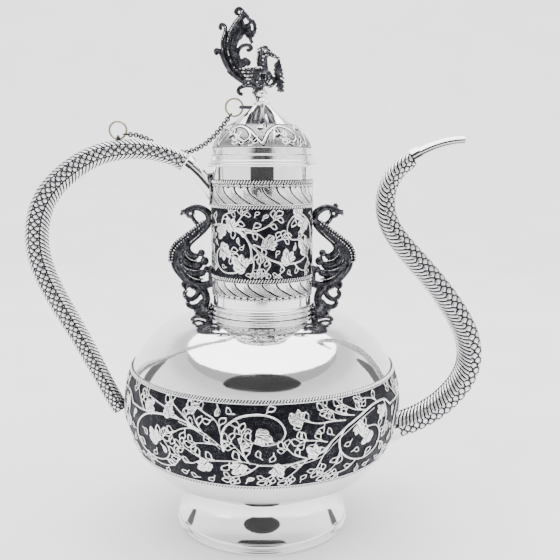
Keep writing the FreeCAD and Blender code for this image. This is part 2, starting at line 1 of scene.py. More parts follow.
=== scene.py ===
"""The looks of a chased silver dallah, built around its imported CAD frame.

Metres, in the CAD's own frame: the pot stands on Z = 0, its spout towards +X and its handle towards -X.
Ornament is laid out in millimetres, and MM turns those into metres.
"""
import json
import math

import bpy
import numpy as np
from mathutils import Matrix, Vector
from mathutils.bvhtree import BVHTree


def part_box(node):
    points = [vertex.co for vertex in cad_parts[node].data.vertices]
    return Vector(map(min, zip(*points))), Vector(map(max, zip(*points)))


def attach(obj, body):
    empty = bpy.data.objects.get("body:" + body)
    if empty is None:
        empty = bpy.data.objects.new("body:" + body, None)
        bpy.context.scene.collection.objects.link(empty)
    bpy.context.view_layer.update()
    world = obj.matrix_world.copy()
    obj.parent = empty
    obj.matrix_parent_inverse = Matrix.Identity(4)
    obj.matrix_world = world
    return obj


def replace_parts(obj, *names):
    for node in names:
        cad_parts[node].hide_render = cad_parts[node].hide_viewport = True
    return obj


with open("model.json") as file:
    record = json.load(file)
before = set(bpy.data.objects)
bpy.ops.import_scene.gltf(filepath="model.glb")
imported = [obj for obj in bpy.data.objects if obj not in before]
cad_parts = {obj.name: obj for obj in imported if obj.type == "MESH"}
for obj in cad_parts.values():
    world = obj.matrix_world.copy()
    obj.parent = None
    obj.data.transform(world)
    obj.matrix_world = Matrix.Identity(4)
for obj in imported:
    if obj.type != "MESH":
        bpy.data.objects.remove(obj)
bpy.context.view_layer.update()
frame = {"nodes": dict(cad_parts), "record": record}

MM = 0.001
dice = np.random.default_rng(11)


# ---------------------------------------------------------------- materials
def add_node(tree, kind, inputs=(), **settings):
    """A shader node. inputs maps socket names to a value or to the socket that feeds it."""
    node = tree.nodes.new(kind)
    for name, setting in settings.items():
        setattr(node, name, setting)
    for name, source in dict(inputs).items():
        if isinstance(source, bpy.types.NodeSocket):
            tree.links.new(source, node.inputs[name])
        else:
            node.inputs[name].default_value = source
    return node


def ramp(tree, source, *stops):
    """A colour ramp through (position, grey or colour) stops."""
    node = add_node(tree, "ShaderNodeValToRGB", {"Fac": source})
    elements = node.color_ramp.elements
    while len(elements) < len(stops):
        elements.new(0.5)
    for element, (position, colour) in zip(elements, stops):
        element.position = position
        rgb = colour if isinstance(colour, tuple) else (colour,) * 3
        element.color = (*rgb, 1.0)
    return node.outputs["Color"]


def noise(tree, where, scale, detail=2.0, roughness=0.5):
    """Noise of a feature size of one over scale, in metres."""
    return add_node(tree, "ShaderNodeTexNoise", {
        "Vector": where, "Scale": scale, "Detail": detail, "Roughness": roughness}).outputs["Fac"]


def blend(tree, amount, first, second):
    """Two colours mixed by an amount from 0 to 1."""
    node = add_node(tree, "ShaderNodeMix", data_type="RGBA")
    for socket, source in zip((node.inputs[0], node.inputs[6], node.inputs[7]), (amount, first, second)):
        if isinstance(source, bpy.types.NodeSocket):
            tree.links.new(source, socket)
        else:
            socket.default_value = source
    return node.outputs[2]


def stretch(tree, where, scale):
    """Coordinates squeezed along each axis."""
    return add_node(tree, "ShaderNodeMapping", {"Vector": where, "Scale": scale}).outputs["Vector"]


def start_material(name):
    """An all-metal material with its node tree, shader and object coordinates."""
    material = bpy.data.materials.new(name)
    material.use_nodes = True
    tree = material.node_tree
    shader = tree.nodes["Principled BSDF"]
    shader.inputs["Metallic"].default_value = 1.0
    where = add_node(tree, "ShaderNodeTexCoord").outputs["Object"]
    return material, tree, shader, where


def feed(tree, shader, colour, roughness, bump, strength, distance):
    """Links a metal's colour, roughness and bump."""
    tree.links.new(colour, shader.inputs["Base Color"])
    tree.links.new(roughness, shader.inputs["Roughness"])
    relief = add_node(tree, "ShaderNodeBump", {
        "Height": bump, "Strength": strength, "Distance": distance})
    tree.links.new(relief.outputs["Normal"], shader.inputs["Normal"])


def polished_silver():
    """Mirror-polished sheet silver: faint haze, hairline wiping marks and a slightly uneven hammered skin."""
    material, tree, shader, where = start_material("polished_silver")
    haze = noise(tree, where, 34.0, 4.0)
    marks = noise(tree, stretch(tree, where, (60.0, 60.0, 1400.0)), 1.0, 3.0, 0.7)
    tarnish = noise(tree, where, 11.0, 3.0, 0.6)
    colour = ramp(tree, tarnish, (0.30, (0.86, 0.855, 0.845)), (0.62, (0.955, 0.953, 0.95)))
    roughness = blend(tree, ramp(tree, marks, (0.35, 0.0), (0.8, 0.35)),
                      ramp(tree, haze, (0.35, 0.035), (0.75, 0.085)), (0.16, 0.16, 0.16, 1.0))
    feed(tree, shader, colour, roughness, noise(tree, where, 26.0, 1.0), 0.12, 0.0012)
    return material


def chased_silver():
    """Chased silver: an oxidised, stippled ground and bright worn relief, told apart by the raised map."""
    material, tree, shader, where = start_material("chased_silver")
    raised = add_node(tree, "ShaderNodeAttribute", attribute_name="raised").outputs["Fac"]
    stipple = add_node(tree, "ShaderNodeTexVoronoi", {"Vector": where, "Scale": 1150.0}).outputs["Distance"]
    fleck = ramp(tree, stipple, (0.12, (0.20, 0.205, 0.22)), (0.42, (0.012, 0.012, 0.016)))
    patch = noise(tree, where, 160.0, 3.0)
    ground = blend(tree, ramp(tree, patch, (0.38, 0.0), (0.66, 0.85)), (0.012, 0.012, 0.016, 1.0), fleck)
    cloud = noise(tree, where, 240.0, 3.0)
    silver = ramp(tree, cloud, (0.3, (0.80, 0.795, 0.79)), (0.65, (0.97, 0.967, 0.96)))
    colour = blend(tree, ramp(tree, raised, (0.40, 0.0), (0.72, 1.0)), ground, silver)
    roughness = ramp(tree, raised, (0.25, 0.55), (0.7, 0.16))
    feed(tree, shader, colour, roughness, stipple, 0.25, 0.0002)
    return material


def oxidised_silver():
    """Cast silver left dark, rubbed bright on its crests."""
    material, tree, shader, where = start_material("oxidised_silver")
    raised = add_node(tree, "ShaderNodeAttribute", attribute_name="raised").outputs["Fac"]
    grain = noise(tree, where, 900.0, 4.0, 0.6)
    wear = add_node(tree, "ShaderNodeMath", {0: raised, 1: grain}, operation="ADD").outputs[0]
    dark = ramp(tree, noise(tree, where, 320.0, 3.0), (0.35, (0.02, 0.02, 0.024)), (0.7, (0.09, 0.09, 0.10)))
    colour = blend(tree, ramp(tree, wear, (0.95, 0.0), (1.35, 1.0)), dark, (0.86, 0.86, 0.86, 1.0))
    roughness = ramp(tree, grain, (0.3, 0.18), (0.7, 0.36))
    feed(tree, shader, colour, roughness, grain, 0.3, 0.0002)
    return material


def drawn_wire(name, low, high):
    """Bright drawn wire with faint die lines."""
    material, tree, shader, where = start_material(name)
    lines = noise(tree, stretch(tree, where, (2200.0, 300.0, 2200.0)), 1.0, 2.0)
    colour = ramp(tree, lines, (0.3, low), (0.7, high))
    feed(tree, shader, colour, ramp(tree, lines, (0.3, 0.10), (0.7, 0.24)), lines, 0.1, 0.0001)
    return material


POLISHED = polished_silver()
CHASED = chased_silver()
OXIDISED = oxidised_silver()
PALE_WIRE = drawn_wire("pale_gold_wire", (0.24, 0.20, 0.14), (0.66, 0.60, 0.47))
BRASS = drawn_wire("turned_brass", (0.50, 0.36, 0.16), (0.80, 0.62, 0.32))
MATERIAL_OF_SLOT = {
    "polished_silver": POLISHED, "chased_silver": CHASED, "oxidised_silver": OXIDISED,
    "pale_gold_wire": PALE_WIRE, "brass": BRASS,
}


# ---------------------------------------------------------------- mesh tools
def new_piece(name, points, faces, material, body):
    """A mesh piece, from points in metres, that rides on a body."""
    mesh = bpy.data.meshes.new(name)
    mesh.from_pydata(np.asarray(points).tolist(), [], np.asarray(faces).tolist())
    mesh.polygons.foreach_set("use_smooth", np.ones(len(mesh.polygons), bool))
    mesh.update()
    piece = bpy.data.objects.new(name, mesh)
    bpy.context.scene.collection.objects.link(piece)
    mesh.materials.append(material)
    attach(piece, body)
    return piece


def wrapped_faces(count_u, count_v):
    """Quads of a grid that closes on itself both ways."""
    u = np.arange(count_u)[:, None]
    v = np.arange(count_v)[None, :]
    right, up = (u + 1) % count_u, (v + 1) % count_v
    corners = (u * count_v + v, right * count_v + v, right * count_v + up, u * count_v + up)
    return np.stack([np.broadcast_to(c, (count_u, count_v)) for c in corners], -1).reshape(-1, 4)


def set_raised(piece, values):
    """The map that tells bright relief, 1, from dark ground, 0."""
    layer = piece.data.attributes.new("raised", "FLOAT", "POINT")
    layer.data.foreach_set("value", np.asarray(values, np.float32).ravel())


def curve_through(points, spacing):
    """Points evenly spaced along a smooth curve through the given ones, in any number of dimensions."""
    p = np.asarray(points, float)
    if len(p) < 3:
        p = np.linspace(p[0], p[-1], 3)
    before, after = 2 * p[0] - p[1], 2 * p[-1] - p[-2]
    q = np.vstack([before, p, after])
    t = np.linspace(0, 1, 13)[:-1, None]
    spans = [
        0.5 * (2 * b + (c - a) * t + (2 * a - 5 * b + 4 * c - d) * t**2 + (3 * b - a - 3 * c + d) * t**3)
        for a, b, c, d in zip(q, q[1:], q[2:], q[3:])]
    fine = np.vstack([*spans, p[-1:]])
    return resample(fine, spacing)


def resample(line, spacing):
    """A polyline's points moved to an even spacing."""
    along = np.concatenate([[0], np.cumsum(np.linalg.norm(np.diff(line, axis=0), axis=1))])
    count = max(2, round(along[-1] / spacing) + 1)
    even = np.linspace(0, along[-1], count)
    return np.stack([np.interp(even, along, line[:, k]) for k in range(line.shape[1])], 1)


def tree_of(node):
    """A ray-cast tree of a CAD node."""
    mesh = frame["nodes"][node].data
    return BVHTree.FromPolygons([v.co for v in mesh.vertices], [p.vertices for p in mesh.polygons])


def outline_of(node, spacing):
    """The outer outline of a turned node as (radius, height) points, found by rays from the front."""
    low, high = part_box(node)
    tree = tree_of(node)
    edge = 0.02 * MM
    outline = []
    for height in np.linspace(low.z + edge, high.z - edge, 400):
        hit = tree.ray_cast(Vector((0, -1, height)), Vector((0, 1, 0)))[0]
        if hit is not None:
            outline.append((-hit.y, height))
    return resample(np.array(outline), spacing)


# ---------------------------------------------------------------- relief laid out on a flat strip
class Relief:
    """A raised pattern on a flat strip in millimetres, which repeats along its length. 0 is the ground."""

    def __init__(self, length, height, cell):
        self.columns, self.rows = round(length / cell), round(height / cell) + 1
        self.length, self.height = length, height
        self.step_x, self.step_y = length / self.columns, height / (self.rows - 1)
        self.rise = np.zeros((self.columns, self.rows))

    def window(self, x, y, reach):
        """The grid cells near a point, and their offsets from it."""
        i = np.arange(math.floor((x - reach) / self.step_x), math.ceil((x + reach) / self.step_x) + 1)
        j = np.arange(max(0, math.floor((y - reach) / self.step_y)),
                      min(self.rows, math.ceil((y + reach) / self.step_y) + 1))
        return np.ix_(i % self.columns, j), i[:, None] * self.step_x - x, j[None, :] * self.step_y - y

    def raise_spot(self, x, y, radius, rise=1.0):
        """A rounded boss."""
        cells, dx, dy = self.window(x, y, radius)
        spot = rise * np.sqrt(np.clip(1 - (dx**2 + dy**2) / radius**2, 0, 1))
        self.rise[cells] = np.maximum(self.rise[cells], spot)

    def cut_spot(self, x, y, radius, depth=1.0):
        """A rounded pit."""
        cells, dx, dy = self.window(x, y, radius)
        pit = 1 - depth * np.sqrt(np.clip(1 - (dx**2 + dy**2) / radius**2, 0, 1))
        self.rise[cells] = np.minimum(self.rise[cells], pit)

    def line(self, points, start, finish=None, rise=1.0, cut=False):
        """A stem through the points, from one width to another, raised or cut."""
        path = curve_through(points, 0.45 * min(self.step_x, self.step_y) + 0.15)
        widths = np.linspace(start, start if finish is None else finish, len(path))
        spot = self.cut_spot if cut else self.raise_spot
        for (x, y), width in zip(path, widths):
            spot(x, y, width / 2, rise)

    def clear(self, x, y, radius):
        """True if nothing is raised within the radius."""
        if not radius < y < self.height - radius:
            return False
        cells, dx, dy = self.window(x, y, radius)
        return not np.any((self.rise[cells] > 0.3) & (dx**2 + dy**2 < radius**2))

    def leaf(self, x, y, angle, length, hollow=True):
        """A drop-shaped leaf on a short stalk, as a loop with a dark eye or as a full lobe."""
        along = np.array([math.cos(angle), math.sin(angle)])
        side = np.array([-along[1], along[0]])
        root = np.array([x, y])
        t = np.linspace(0, 1, 9)[:, None]
        half = 0.24 * length * np.sin(math.pi * np.clip(t * 1.3 - 0.3, 0, 1) ** 1.35)
        middle = root + along * length * t + side * 0.16 * length * np.sin(math.pi * t)
        if hollow:
            for sign in (1, -1):
                self.line(middle + side * half * sign, 0.9, 0.11 * length + 0.2)
            return
        path = curve_through(middle, 0.4)
        widths = np.interp(np.linspace(0, 1, len(path)), t[:, 0], half[:, 0])
        for (px, py), width in zip(path, widths):
            self.raise_spot(px, py, width + 0.6)
        self.line(middle[4:8], 0.8, 0.5, 0.8, cut=True)

    def palm(self, x, y, angle, length):
        """A broad lobed leaf: a long middle lobe and two pairs beside it, each with its vein."""
        for swing, share in ((1.15, 0.52), (-1.15, 0.52), (0.62, 0.76), (-0.62, 0.76), (0.0, 1.0)):
            self.leaf(x, y, angle + swing, length * share, False)
        turn = np.array([math.cos(angle), math.sin(angle)])
        root = np.array([x, y])
        self.line([root, root + turn * 0.8 * length], 0.9, 0.5, 0.9, cut=True)

    def spray(self, points, start, finish, leaves, size, tip=True):
        """A stem with drop-shaped leaves on alternate sides, and three at its tip."""
        self.line(points, start, finish)
        path = curve_through(points, 0.5)
        heading = np.gradient(path, axis=0)
        for number in range(leaves):
            at = int((0.20 + 0.62 * number / max(1, leaves - 1)) * (len(path) - 1))
            turn = math.atan2(heading[at][1], heading[at][0])
            sign = 1 if number % 2 else -1
            self.leaf(*path[at], turn + sign * 0.8, size * (1.05 - 0.2 * number / leaves), number % 4 != 3)
        if tip:
            turn = math.atan2(heading[-1][1], heading[-1][0])
            for swing in (-0.9, 0.0, 0.9):
                self.leaf(*path[-1], turn + swing, size * (0.9 if swing else 1.1))

    def fill(self, size, tries):
        """Small leaves wherever the ground is still bare."""
        for _ in range(tries):
            x = dice.uniform(0, self.length)
            y = dice.uniform(0, self.height)
            turn = dice.uniform(0, 2 * math.pi)
            middle = (x + 0.5 * size * math.cos(turn), y + 0.5 * size * math.sin(turn))
            if self.clear(*middle, 0.66 * size):
                self.leaf(x, y, turn, size, dice.random() < 0.7)


def ring_piece(name, node, relief, repeats, depth, wall, lift=0.0, body="pot"):
    """A turned band that stands for a CAD node: its outline with relief, closed by an inner wall."""
    outline = outline_of(node, relief.step_y * MM)
    length = np.linalg.norm(np.diff(outline, axis=0), axis=1).sum()
    outline = resample(outline, length / (relief.rows - 1))
    tangent = np.gradient(outline, axis=0)
    tangent /= np.linalg.norm(tangent, axis=1)[:, None]
    outward = np.stack([tangent[:, 1], -tangent[:, 0]], 1)
    rise = np.tile(relief.rise, (repeats, 1))[:, :len(outline)]
    offset = (rise - 1) * depth * MM + lift * MM
    outer = outline[None] + outward[None] * offset[..., None]
    wall_steps = max(1, len(outline) // 24)
    inner = np.broadcast_to((outline - outward * wall * MM)[::-1], outer.shape)[:, ::wall_steps]
    section = np.concatenate([outer, inner], 1)
    turn = np.linspace(0, 2 * math.pi, len(section), endpoint=False)[:, None]
    points = np.stack([section[..., 0] * np.sin(turn), -section[..., 0] * np.cos(turn), section[..., 1]], -1)
    faces = wrapped_faces(*points.shape[:2])
    piece = new_piece(name, points.reshape(-1, 3), faces, CHASED, body)
    set_raised(piece, np.concatenate([rise, np.ones(inner.shape[:2])], 1))
    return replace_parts(piece, node)


def circumference(node):
    """A turned node's length around its outer side, in millimetres."""
    low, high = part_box(node)
    return math.pi * (high.y - low.y) / MM


# ---------------------------------------------------------------- chased band round the body
def body_vines():
    """One third of the band: a main vine that dips in the middle, with its spirals and twigs."""
    low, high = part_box("body_band")
    strip = Relief(circumference("body_band") / 3, (high.z - low.z) / MM * 1.07, 0.42)
    vine, twig = 2.0, 1.3
    # the main vine rises to the right, and a second one comes in from the upper left
    strip.spray([(-3, 20), (18, 20), (39, 26), (49, 34), (59, 41), (73, 47), (89, 52), (104, 52), (113, 46)],
                vine, vine, 0, 0, False)
    strip.spray([(-113, 46), (-97, 46), (-77, 48), (-62, 48), (-49, 45), (-36, 39), (-25, 31)],
                vine, 1.1, 0, 0, False)
    strip.line([(-60, 46), (-48, 43), (-36, 37), (-28, 31)], 0.9, 0.6)
    strip.line([(20, 18), (40, 23), (51, 32), (61, 38.5), (75, 45), (90, 49.5)], 0.9, 0.7)
    # spiral at the left end and the one above the dip
    strip.spray([(-62, 48), (-77, 48), (-93, 44), (-104, 35), (-107, 24), (-100, 14), (-86, 11), (-74, 14),
                 (-69, 22), (-74, 30)], vine, 1.2, 3, 10.0)
    strip.spray([(-26, 30), (-27, 40), (-24, 48), (-14, 54.5), (0, 56), (11, 52), (15.5, 44), (12, 37.5),
                 (3, 35), (-6, 37)], vine, 1.2, 3, 9.0)
    # spiral under the right vine
    strip.spray([(59, 41), (55, 34), (57, 24), (67, 16), (81, 13), (93, 18), (96, 28), (91, 36), (81, 38)],
                vine, 1.2, 3, 9.5)
    # twigs that climb from the left vine, and its hanging sprays
    for points, leaves, leaf_size in (
            ([(-60, 48), (-72, 53), (-84, 56), (-93, 58)], 2, 9.1),
            ([(-50, 46), (-57, 51), (-66, 57)], 1, 9.1),
            ([(-41, 42), (-46, 48), (-49, 54)], 1, 8.4),
            ([(-97, 47), (-104, 53), (-110, 59)], 1, 8.4),
            ([(-41, 42), (-50, 43), (-58, 41), (-66, 36)], 3, 9.1),
            ([(-30, 34), (-38, 34), (-46, 33)], 1, 8.4),
            ([(-27, 40), (-31, 50), (-40, 55), (-46, 58)], 3, 8.4),
            ([(-8, 21), (-14, 29), (-20, 36)], 2, 8.4),
            ([(-12, 27), (-14, 35), (-13, 42)], 1, 7.7),
            # bottom stem and its leaves
            ([(0, 20), (-13, 22.5), (-27, 22), (-42, 20), (-52, 16), (-60, 20)], 5, 9.8),
            ([(-38, 21), (-47, 24), (-55, 28)], 1, 8.4),
            ([(-60, 18), (-68, 10), (-80, 7), (-92, 8)], 3, 7.7),
            ([(20, 20), (12, 15), (4, 9)], 2, 8.4),
            ([(-2, 20), (-10, 13), (-20, 9)], 2, 8.4),
            ([(31, 23), (24, 15), (18, 9)], 2, 8.4),
            ([(49, 34), (43, 25), (39, 15)], 2, 8.4),
            ([(56, 27), (54, 16), (47, 9)], 2, 8.4),
            ([(45, 34), (38, 36), (29, 37)], 3, 9.1),
            ([(30, 24), (22, 27), (17, 32)], 1, 7.7),
            ([(60, 47), (50, 48), (39, 48), (28, 51)], 3, 9.1),
            ([(68, 49), (56, 52), (47, 57)], 2, 8.4),
            ([(81, 50), (69, 53), (60, 58)], 2, 8.4),
            ([(96, 52), (88, 57), (78, 59)], 2, 7.7),
            ([(104, 51), (106, 42), (103, 33)], 2, 8.4),
            ([(72, 14), (66, 8), (58, 6)], 1, 7.7),
            ([(94, 22), (104, 18), (108, 9)], 2, 8.4)):
        strip.spray(points, twig, 1.0, leaves, leaf_size)
    # broad leaves that end the spirals and hang from the stems
    for x, y, turn, size in (
            (-80, 26, 2.2, 12.0), (-4, 42, -0.4, 11.0), (84, 34, -2.4, 11.5), (-38, 20, -2.3, 10.5),
            (-14, 21, -2.2, 11.0), (8, 18, -1.0, 10.0), (28, 51, 2.6, 10.0), (70, 42, -1.1, 10.0),
            (-92, 47, 0.9, 10.5), (100, 49, -2.0, 10.0), (39, 26, 2.5, 9.5), (-68, 48, 2.0, 9.0)):
        strip.palm(x, y, turn, size)
    strip.fill(7.6, 5000)
    for number in range(round(strip.length / 0.5)):
        for edge in (0.3, strip.height - 0.3):
            strip.raise_spot(number * 0.5, edge, 0.55)
    return strip


ring_piece("chased_body_band", "body_band", body_vines(), 3, 0.9, 0.75, 0.5)


def rope_strip(around, height, pitch, cell):
    """A milled border: a row of slanted beads with dark gaps between them and a dark edge on both sides."""
    count = round(around / pitch)
    strip = Relief(around / count, height, cell)
    lean = 0.25 * strip.length
    low, high = 0.27 * height, 0.73 * height
    for shift in (0, strip.length):
        strip.line([(shift - lean, low), (shift + lean, high)], 0.55 * strip.length)
    return strip, count


ROPE_PITCH = 2.2
ROPES = ("band_rope_lower", "band_rope_upper", "neck_rope_lower", "neck_rope_middle", "neck_rope_upper")
for rope_node in ROPES:
    rope_low, rope_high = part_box(rope_node)
    rope_height = (rope_high.z - rope_low.z) / MM
    rope, rope_count = rope_strip(circumference(rope_node), rope_height * 1.05, ROPE_PITCH, 0.15)
    ring_piece("milled_" + rope_node, rope_node, rope, rope_count, 0.9, 0.8, 0.3)


# ---------------------------------------------------------------- neck
def neck_scrolls():
    """Half of the neck's scroll band: two great spirals and a palmette over the dip between them."""
    low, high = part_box("neck_scroll_band")
    strip = Relief(circumference("neck_scroll_band") / 2, (high.z - low.z) / MM, 0.34)
    strip.spray([(-50, 37), (-34, 39), (-22, 36), (-12, 30), (-8, 21), (-9, 13), (-14, 7), (-23, 3.4), (-33, 4),
                 (-40, 10), (-40, 18), (-33, 22), (-26, 18)], 1.9, 1.2, 1, 9.0)
    strip.spray([(-26, 37), (-15, 34), (-9, 26), (0, 18), (10, 12.5), (21, 10.5), (33, 12), (42, 18), (47, 28),
                 (45, 38), (37, 45), (29, 47), (22, 43), (19, 36), (22, 29), (29, 28)], 1.9, 1.2, 2, 9.0)
    for points, leaves, leaf_size in (
            ([(-26, 37), (-14, 36.5), (-5, 35), (3, 38), (9, 43)], 3, 8.1),
            ([(-12, 34), (-4, 33.5), (2, 29)], 1, 6.9),
            ([(-22, 37), (-18, 42), (-15, 46)], 1, 7.5),
            ([(-6, 25), (2, 23), (9, 27), (15, 29)], 2, 7.5),
            ([(-8, 20), (-6, 11), (-7, 5)], 1, 6.2),
            ([(-5, 23), (-1, 15), (-2, 8)], 1, 6.2),
            ([(1, 18), (6, 11), (3, 5)], 1, 6.2),
            ([(12, 12), (17, 7), (13, 3)], 1, 5.6),
            ([(25, 11), (31, 6), (37, 4)], 1, 6.2),
            ([(-40, 38), (-46, 44), (-54, 46)], 1, 7.5),
            ([(-34, 39), (-32, 45), (-26, 48)], 1, 6.9),
            ([(46, 24), (52, 20), (56, 12)], 2, 8.1),
            ([(47, 32), (53, 34), (57, 28)], 1, 7.5),
            ([(40, 16), (45, 9), (52, 5)], 1, 7.5),
            ([(-41, 14), (-48, 18), (-52, 27)], 2, 8.1),
            ([(-38, 7), (-46, 6), (-54, 8)], 1, 6.9)):
        strip.spray(points, 1.5, 1.0, leaves, leaf_size)
    # broad leaves inside the spirals and beside the stems
    for x, y, turn, size in (
            (-12, 8, 2.5, 13.0), (-36, 21, -0.5, 12.0), (-34, 39, -1.9, 11.0), (-22, 36, 2.1, 10.0),
            (43, 20, 2.6, 14.0), (37, 44, -2.0, 12.0), (22, 11, 1.9, 11.0), (-50, 37, -2.2, 12.0),
            (50, 26, -0.8, 12.0), (33, 46, 2.6, 9.0), (4, 22, 1.1, 10.0), (-42, 12, 3.6, 12.0)):
        strip.palm(x, y, turn, size)
    strip.fill(5.2, 1500)
    return strip


ring_piece("chased_neck_band", "neck_scroll_band", neck_scrolls(), 2, 0.7, 0.55, 0.45)


def leaf_border(node, leaves, lobes_up):
    """A border of leaning leaves: S-shaped edges that run down to the right, fine veins and notched lobes."""
    low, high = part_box(node)
    strip = Relief(circumference(node) / leaves, (high.z - low.z) / MM, 0.2)
    strip.rise[:] = 1.0
    height, width = strip.height, strip.length
    shares = np.linspace(0.0, 1.0, 8)
    lean = 1.25 * width
    across = lean * shares**1.7
    top, bottom = (0.84, 0.05) if lobes_up else (0.95, 0.22)
    edge = np.column_stack([across, height * (top + (bottom - top) * shares)])
    for nudge in (0.0, 0.35):
        strip.line(edge + (nudge, 0.0), 1.15, 0.75, 1.0, cut=True)
    veins = 7
    for vein in range(1, veins):
        shift = np.array([vein / veins * width, 0.0])
        reach = 4 + vein % 2 if vein < 4 else 6 + vein % 2
        strip.line((edge + shift)[8 - reach:], 0.42, 0.46, 0.9, cut=True)
    tip, notch = (0.96, 0.84) if lobes_up else (0.06, 0.19)
    for share in (0.0, 0.5):
        x = share * width
        for sign in (-1, 1):
            strip.line([(x + sign * 0.25 * width, tip * height),
                        (x + sign * 0.12 * width, (tip + notch) / 2 * height),
                        (x, notch * height)], 0.55, 1.1, 1.0, cut=True)
        rim = height if lobes_up else 0.0
        strip.line([(x, rim), (x, notch * height)], 1.3, 0.7, 1.0, cut=True)
    return strip


LEAVES_ROUND_NECK = 23
for border, lobes_up in (("neck_leaf_band_upper", True), ("neck_leaf_band_lower", False)):
    ring_piece("chased_" + border, border, leaf_border(border, LEAVES_ROUND_NECK, lobes_up),
               LEAVES_ROUND_NECK, 0.55, 0.55, 0.1)


# ---------------------------------------------------------------- lid dome
def dome_scrolls():
    """One sixth of the lid's dome over its plain band: an arched scroll with leaves on a hatched ground."""
    outline = outline_of("lid_dome", 0.3 * MM) / MM
    length = np.linalg.norm(np.diff(outline, axis=0), axis=1).sum()
    plain = length * (outline[:, 1] < 297.4).mean()
    strip = Relief(circumference("lid_dome") / 6, length, 0.3)
    wide = strip.length
    strip.rise[:] = 0.58
    strokes = int(wide / 1.1)
    for number in range(strokes):
        x = number * wide / strokes
        strip.line([(x, plain + 1.0), (x + 3.0, length - 1.2)], 0.55, 0.55, 0.95, cut=True)
    span = length - plain
    arch = [(0.02, 0.10), (0.16, 0.62), (0.40, 0.88), (0.64, 0.74), (0.76, 0.42), (0.66, 0.20), (0.54, 0.30)]
    arch = [(x * wide, plain + y * span) for x, y in arch]
    next_stem = [(0.55, 0.86), (0.75, 0.62), (0.98, 0.14), (1.02, 0.10)]
    next_stem = [(x * wide, plain + y * span) for x, y in next_stem]
    for stem in (arch, next_stem):
        strip.line(stem, 4.6, 3.4, 1.0, cut=True)
    strip.spray(arch, 2.4, 1.5, 2, 7.5)
    strip.line(next_stem, 2.2, 1.4)
    for x, y, turn, size, hollow in ((0.24, 0.30, 0.9, 8.5, False), (0.42, 0.48, 2.4, 7.5, True),
                                     (0.86, 0.74, 0.3, 8.0, False), (0.90, 0.40, -1.9, 6.5, True),
                                     (0.10, 0.72, 1.9, 6.5, True), (0.50, 0.12, 0.0, 6.0, True)):
        shade = (x * wide + 0.55 * size * math.cos(turn), plain + y * span + 0.55 * size * math.sin(turn))
        strip.cut_spot(*shade, 0.42 * size, 1.0)
        strip.leaf(x * wide, plain + y * span, turn, size, hollow)
    flat = np.arange(strip.rows) * strip.step_y < plain
    strip.rise[:, flat] = 1.0
    for height, width in ((plain - 0.2, 0.7), (plain * 0.45, 0.8), (length - 0.5, 0.7)):
        strip.line([(0, height), (wide, height)], width, width, 1.0, cut=True)
    return strip


ring_piece("chased_lid_dome", "lid_dome", dome_scrolls(), 6, 0.55, 0.9, 0.2, "lid")


# ---------------------------------------------------------------- scaled and feathered tubes
def tube_line(node, start, heading, wall):
    """The middle line of a bent tube lying in the XZ plane, and its outer radius, by rays cast inside it."""
    tree = tree_of(node)
    step, reach = 1.5 * MM, 20 * MM
    point, heading = Vector(start), Vector(heading).normalized()
    middles, radii, misses = [], [], 0
    while misses < 12:
        across = heading.cross(Vector((0, 1, 0)))
        hits = [tree.ray_cast(point, way, reach)[0] for way in (across, -across)]
        if None in hits:
            if middles:
                break
            misses += 1
            point = point + heading * step
            continue
        middle = (hits[0] + hits[1]) / 2
        if middles:
            heading = (middle - middles[-1]).normalized()
        middles.append(middle)
        radii.append((hits[0] - hits[1]).length / 2 + wall * MM)
        point = middle + heading * step
    line = np.column_stack([np.array(middles), radii])
    for _ in range(4):
        line[1:-1] = (line[:-2] + 2 * line[1:-1] + line[2:]) / 4
    return line


def scales(along, across, length, width):
    """Overlapping round scales: how raised each point is. Rows run along, and each scale covers the next."""
    rise = np.zeros(np.broadcast(along, across).shape)
    reach = 0.60 * width
    for row in (2, 1, 0, -1):
        number = np.floor(along / length) + row
        shift = np.where(number % 2 == 0, 0.0, 0.5 * width)
        column = np.round((across - shift) / width)
        dx = along - number * length
        dy = across - shift - column * width
        apart = np.hypot(dx * 0.92, dy) / reach
        lifted = np.clip((1 - apart) * 1.7, 0, 1) * (0.86 + 0.14 * np.clip(dx / length, -1, 1))
        ring = 0.30 * np.exp(-((apart - 0.42) / 0.09) ** 2)
        rise = np.where(apart < 1, lifted - ring, rise)
    return rise


def feathers(along, across, pitch, lean):
    """Slanted strokes with sharp grooves between them."""
    phase = (along + lean * across) / pitch
    return np.clip(np.abs(np.sin(math.pi * phase)) * 1.7 - 0.5, 0, 1)


def tube_piece(name, node, line, pattern, depth, wall, outward):
    """A tube along a middle line with relief from pattern(along, turn, radius), closed by an inner wall."""
    line = resample(line, 0.45 * MM)
    middle, radius = line[:, :3], line[:, 3]
    tangent = np.gradient(middle, axis=0)
    tangent /= np.linalg.norm(tangent, axis=1)[:, None]
    front = np.array([0.0, -1.0, 0.0])
    side = outward * np.cross(tangent, front)
    turn = np.linspace(0, 2 * math.pi, round(2 * math.pi * radius.mean() / (0.42 * MM)), endpoint=False)
    ring = np.cos(turn)[None, :, None] * front + np.sin(turn)[None, :, None] * side[:, None, :]
    along = np.arange(len(line)) * 0.45
    rise = pattern(along[:, None], turn[None, :], radius.mean() / MM)
    outer = middle[:, None] + ring * (radius[:, None] + (rise - 0.6) * depth * MM)[..., None]
    inner = (middle[:, None] + ring * (radius[:, None, None] - wall * MM))[::-1][::4]
    points = np.concatenate([outer, inner], 0)
    faces = wrapped_faces(*points.shape[:2])
    piece = new_piece(name, points.reshape(-1, 3), faces, CHASED, "pot")
    set_raised(piece, np.concatenate([rise, np.ones(inner.shape[:2])], 0))
    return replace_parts(piece, node)


